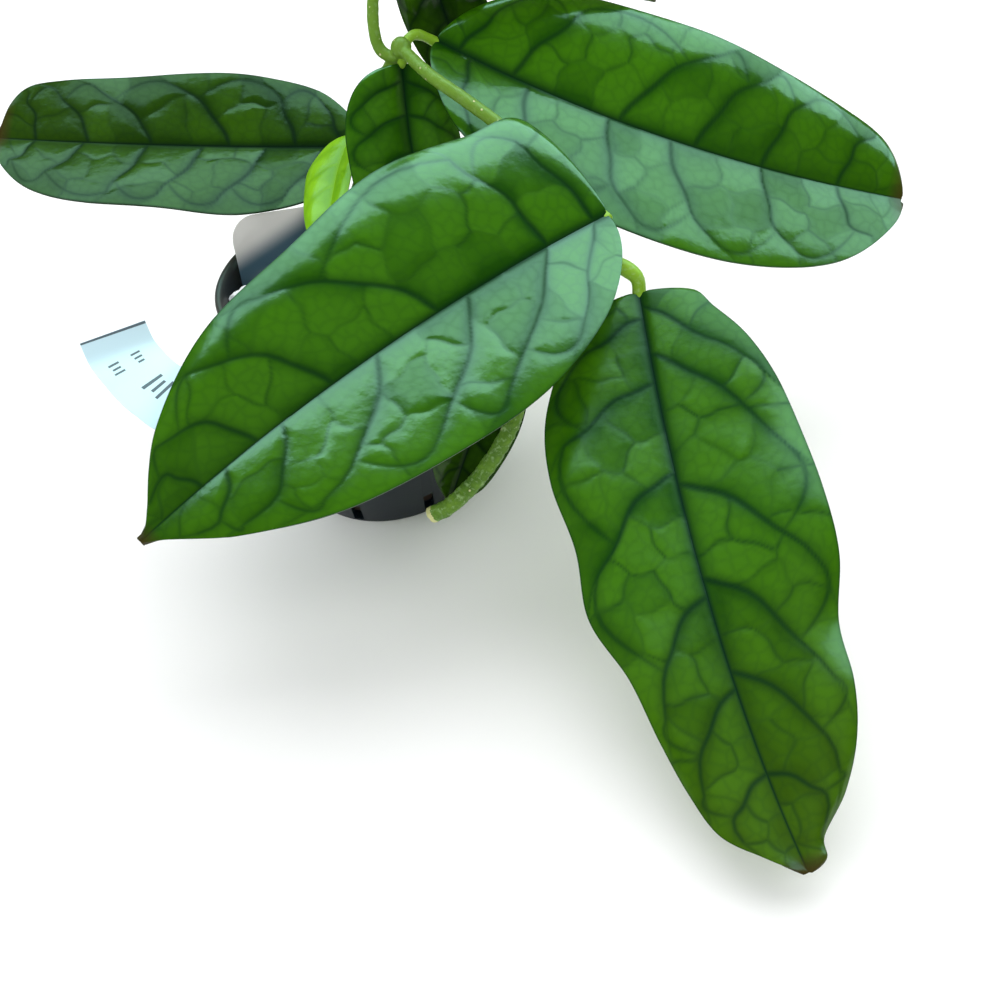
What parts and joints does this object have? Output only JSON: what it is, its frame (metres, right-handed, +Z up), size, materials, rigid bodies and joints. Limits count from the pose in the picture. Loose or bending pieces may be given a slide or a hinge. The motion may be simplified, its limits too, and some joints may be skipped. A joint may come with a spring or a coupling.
{
  "type": "potted hoya plant",
  "caption": "Hoya with large quilted leaves on arching vines in a round nursery pot of potting mix, with a plastic label strip and a wide tag.",
  "frame": {"origin": "middle of the pot's base, on the surface that the pot stands on", "axes": "+Z up, +X to the right of the picture, the viewer on the -Y side"},
  "size_m": [0.3194, 0.2958, 0.1981],
  "materials": {
    "pot": "satin",
    "soil": "matte",
    "perlite": "matte",
    "label": "satin",
    "tag": "gloss",
    "stem": "satin",
    "leaf": "satin",
    "leaf_young": "satin"
  },
  "bodies": {
    "root": {"pot": "pot", "soil": "soil", "perlite_lump": "perlite", "label_strip": "label", "tag_wide": "tag", "vine_main": "stem", "vine_back": "stem", "leaf_front": "leaf", "leaf_right_lower": "leaf", "leaf_right_upper": "leaf", "leaf_left": "leaf", "leaf_inner": "leaf", "leaf_young": "leaf_young", "leaf_low_front": "leaf", "leaf_hanging_back": "leaf", "leaf_top_right": "leaf", "leaf_top_young": "leaf_young"}
  },
  "joints": []
}
